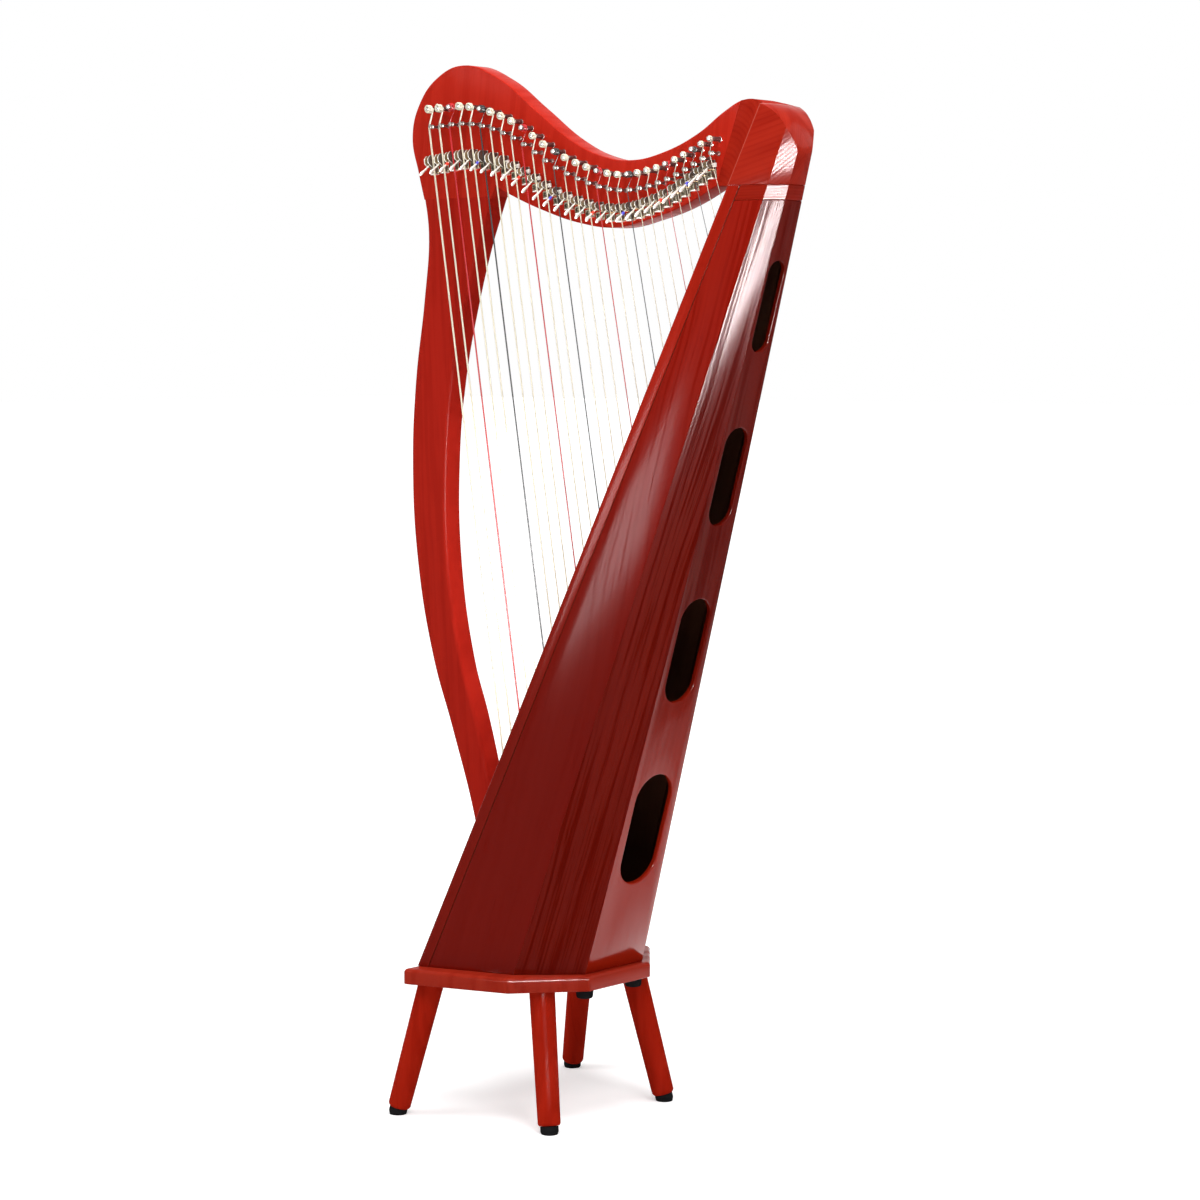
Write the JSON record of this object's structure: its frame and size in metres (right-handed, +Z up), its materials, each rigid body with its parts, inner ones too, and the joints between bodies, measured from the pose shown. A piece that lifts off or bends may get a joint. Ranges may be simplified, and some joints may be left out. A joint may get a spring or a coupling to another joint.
{
  "type": "lever harp",
  "caption": "Small lever harp with a tall tapered sound box, curved neck and pillar, strings with sharping levers, on four splayed screw-in legs with rubber feet.",
  "frame": {"origin": "on the floor, at the middle of the whole harp's footprint", "axes": "+Z up; +X from the pillar towards the sound box and the player; the strings and levers are on the -Y side of the neck; Y = 0 is the frame's middle plane"},
  "size_m": [0.5658, 0.3218, 1.18],
  "materials": {
    "neck_wood": "glossy red stain over visible grain",
    "pillar_wood": "glossy red stain over visible grain",
    "heel_wood": "glossy red stain over visible grain",
    "collar_wood": "glossy red stain over visible grain",
    "soundboard_wood": "glossy red stain over visible grain",
    "bar_wood": "glossy red stain over visible grain",
    "block_wood": "glossy red stain over visible grain",
    "plate_wood": "glossy red stain over visible grain",
    "rail_wood": "glossy red stain over visible grain",
    "side_wood": "glossy red stain over visible grain",
    "facet_wood": "glossy red stain over visible grain",
    "back_wood": "glossy red stain over visible grain",
    "leg_wood": "glossy red stain over visible grain",
    "string_nylon": "smooth monofilament, ivory",
    "lever_metal": "polished nickel",
    "rubber": "matte"
  },
  "bodies": {
    "harp": {"neck": "neck_wood", "pillar": "pillar_wood", "heel": "heel_wood", "collar_block": "collar_wood", "soundboard": "soundboard_wood", "string_bar": "bar_wood", "bottom_block": "block_wood", "base_plate": "plate_wood", "edge_rail_near": "rail_wood", "edge_rail_far": "rail_wood", "side_panel_near": "side_wood", "side_panel_far": "side_wood", "rear_facet_near": "facet_wood", "rear_facet_far": "facet_wood", "back_panel": "back_wood", "string_set": "string_nylon", "leg_front_near": "leg_wood", "foot_front_near": "rubber", "bumper_front_near": "rubber", "leg_front_far": "leg_wood", "foot_front_far": "rubber", "bumper_front_far": "rubber", "leg_rear_near": "leg_wood", "foot_rear_near": "rubber", "bumper_rear_near": "rubber", "leg_rear_far": "leg_wood", "foot_rear_far": "rubber", "bumper_rear_far": "rubber"},
    "lever_01": {"lever_arm_01": "lever_metal"},
    "lever_02": {"lever_arm_02": "lever_metal"},
    "lever_03": {"lever_arm_03": "lever_metal"},
    "lever_04": {"lever_arm_04": "lever_metal"},
    "lever_05": {"lever_arm_05": "lever_metal"},
    "lever_06": {"lever_arm_06": "lever_metal"},
    "lever_07": {"lever_arm_07": "lever_metal"},
    "lever_08": {"lever_arm_08": "lever_metal"},
    "lever_09": {"lever_arm_09": "lever_metal"},
    "lever_10": {"lever_arm_10": "lever_metal"},
    "lever_11": {"lever_arm_11": "lever_metal"},
    "lever_12": {"lever_arm_12": "lever_metal"},
    "lever_13": {"lever_arm_13": "lever_metal"},
    "lever_14": {"lever_arm_14": "lever_metal"},
    "lever_15": {"lever_arm_15": "lever_metal"},
    "lever_16": {"lever_arm_16": "lever_metal"},
    "lever_17": {"lever_arm_17": "lever_metal"},
    "lever_18": {"lever_arm_18": "lever_metal"},
    "lever_19": {"lever_arm_19": "lever_metal"},
    "lever_20": {"lever_arm_20": "lever_metal"},
    "lever_21": {"lever_arm_21": "lever_metal"},
    "lever_22": {"lever_arm_22": "lever_metal"},
    "lever_23": {"lever_arm_23": "lever_metal"},
    "lever_24": {"lever_arm_24": "lever_metal"},
    "lever_25": {"lever_arm_25": "lever_metal"},
    "lever_26": {"lever_arm_26": "lever_metal"},
    "lever_27": {"lever_arm_27": "lever_metal"},
    "lever_28": {"lever_arm_28": "lever_metal"},
    "lever_29": {"lever_arm_29": "lever_metal"}
  },
  "joints": [
    {"name": "lever_turn_01", "type": "hinge", "parent": "harp", "child": "lever_01", "pos_m": [-0.23321, -0.0192, 1.07406], "axis": [-0.9916, 0, -0.1294], "range_deg": [0, 85]},
    {"name": "lever_turn_02", "type": "hinge", "parent": "harp", "child": "lever_02", "pos_m": [-0.2173, -0.0192, 1.07547], "axis": [-0.9916, 0, -0.1294], "range_deg": [0, 85]},
    {"name": "lever_turn_03", "type": "hinge", "parent": "harp", "child": "lever_03", "pos_m": [-0.20139, -0.0192, 1.07716], "axis": [-0.9916, 0, -0.1294], "range_deg": [0, 85]},
    {"name": "lever_turn_04", "type": "hinge", "parent": "harp", "child": "lever_04", "pos_m": [-0.18548, -0.0192, 1.07831], "axis": [-0.9916, 0, -0.1294], "range_deg": [0, 85]},
    {"name": "lever_turn_05", "type": "hinge", "parent": "harp", "child": "lever_05", "pos_m": [-0.16958, -0.0192, 1.07808], "axis": [-0.9916, 0, -0.1294], "range_deg": [0, 85]},
    {"name": "lever_turn_06", "type": "hinge", "parent": "harp", "child": "lever_06", "pos_m": [-0.15368, -0.0192, 1.07623], "axis": [-0.9916, 0, -0.1294], "range_deg": [0, 85]},
    {"name": "lever_turn_07", "type": "hinge", "parent": "harp", "child": "lever_07", "pos_m": [-0.13778, -0.0192, 1.07322], "axis": [-0.9916, 0, -0.1294], "range_deg": [0, 85]},
    {"name": "lever_turn_08", "type": "hinge", "parent": "harp", "child": "lever_08", "pos_m": [-0.1219, -0.0192, 1.06914], "axis": [-0.9916, 0, -0.1294], "range_deg": [0, 85]},
    {"name": "lever_turn_09", "type": "hinge", "parent": "harp", "child": "lever_09", "pos_m": [-0.10601, -0.0192, 1.06405], "axis": [-0.9916, 0, -0.1294], "range_deg": [0, 85]},
    {"name": "lever_turn_10", "type": "hinge", "parent": "harp", "child": "lever_10", "pos_m": [-0.09013, -0.0192, 1.05738], "axis": [-0.9916, 0, -0.1294], "range_deg": [0, 85]},
    {"name": "lever_turn_11", "type": "hinge", "parent": "harp", "child": "lever_11", "pos_m": [-0.07425, -0.0192, 1.04916], "axis": [-0.9916, 0, -0.1294], "range_deg": [0, 85]},
    {"name": "lever_turn_12", "type": "hinge", "parent": "harp", "child": "lever_12", "pos_m": [-0.05838, -0.0192, 1.04071], "axis": [-0.9916, 0, -0.1294], "range_deg": [0, 85]},
    {"name": "lever_turn_13", "type": "hinge", "parent": "harp", "child": "lever_13", "pos_m": [-0.0425, -0.0192, 1.03334], "axis": [-0.9916, 0, -0.1294], "range_deg": [0, 85]},
    {"name": "lever_turn_14", "type": "hinge", "parent": "harp", "child": "lever_14", "pos_m": [-0.02662, -0.0192, 1.02751], "axis": [-0.9916, 0, -0.1294], "range_deg": [0, 85]},
    {"name": "lever_turn_15", "type": "hinge", "parent": "harp", "child": "lever_15", "pos_m": [-0.01073, -0.0192, 1.02252], "axis": [-0.9916, 0, -0.1294], "range_deg": [0, 85]},
    {"name": "lever_turn_16", "type": "hinge", "parent": "harp", "child": "lever_16", "pos_m": [0.00481, -0.0192, 1.01841], "axis": [-0.9916, 0, -0.1294], "range_deg": [0, 85]},
    {"name": "lever_turn_17", "type": "hinge", "parent": "harp", "child": "lever_17", "pos_m": [0.02, -0.0192, 1.0151], "axis": [-0.9916, 0, -0.1294], "range_deg": [0, 85]},
    {"name": "lever_turn_18", "type": "hinge", "parent": "harp", "child": "lever_18", "pos_m": [0.03485, -0.0192, 1.01287], "axis": [-0.9916, 0, -0.1294], "range_deg": [0, 85]},
    {"name": "lever_turn_19", "type": "hinge", "parent": "harp", "child": "lever_19", "pos_m": [0.04935, -0.0192, 1.01218], "axis": [-0.9916, 0, -0.1294], "range_deg": [0, 85]},
    {"name": "lever_turn_20", "type": "hinge", "parent": "harp", "child": "lever_20", "pos_m": [0.0635, -0.0192, 1.01309], "axis": [-0.9916, 0, -0.1294], "range_deg": [0, 85]},
    {"name": "lever_turn_21", "type": "hinge", "parent": "harp", "child": "lever_21", "pos_m": [0.07731, -0.0192, 1.01509], "axis": [-0.9916, 0, -0.1294], "range_deg": [0, 85]},
    {"name": "lever_turn_22", "type": "hinge", "parent": "harp", "child": "lever_22", "pos_m": [0.09077, -0.0192, 1.01786], "axis": [-0.9916, 0, -0.1294], "range_deg": [0, 85]},
    {"name": "lever_turn_23", "type": "hinge", "parent": "harp", "child": "lever_23", "pos_m": [0.10388, -0.0192, 1.02135], "axis": [-0.9916, 0, -0.1294], "range_deg": [0, 85]},
    {"name": "lever_turn_24", "type": "hinge", "parent": "harp", "child": "lever_24", "pos_m": [0.11665, -0.0192, 1.02551], "axis": [-0.9916, 0, -0.1294], "range_deg": [0, 85]},
    {"name": "lever_turn_25", "type": "hinge", "parent": "harp", "child": "lever_25", "pos_m": [0.12907, -0.0192, 1.03043], "axis": [-0.9916, 0, -0.1294], "range_deg": [0, 85]},
    {"name": "lever_turn_26", "type": "hinge", "parent": "harp", "child": "lever_26", "pos_m": [0.14113, -0.0192, 1.03589], "axis": [-0.9916, 0, -0.1294], "range_deg": [0, 85]},
    {"name": "lever_turn_27", "type": "hinge", "parent": "harp", "child": "lever_27", "pos_m": [0.15313, -0.0192, 1.04168], "axis": [-0.9916, 0, -0.1294], "range_deg": [0, 85]},
    {"name": "lever_turn_28", "type": "hinge", "parent": "harp", "child": "lever_28", "pos_m": [0.16513, -0.0192, 1.04756], "axis": [-0.9916, 0, -0.1294], "range_deg": [0, 85]},
    {"name": "lever_turn_29", "type": "hinge", "parent": "harp", "child": "lever_29", "pos_m": [0.17713, -0.0192, 1.05322], "axis": [-0.9916, 0, -0.1294], "range_deg": [0, 85]}
  ]
}
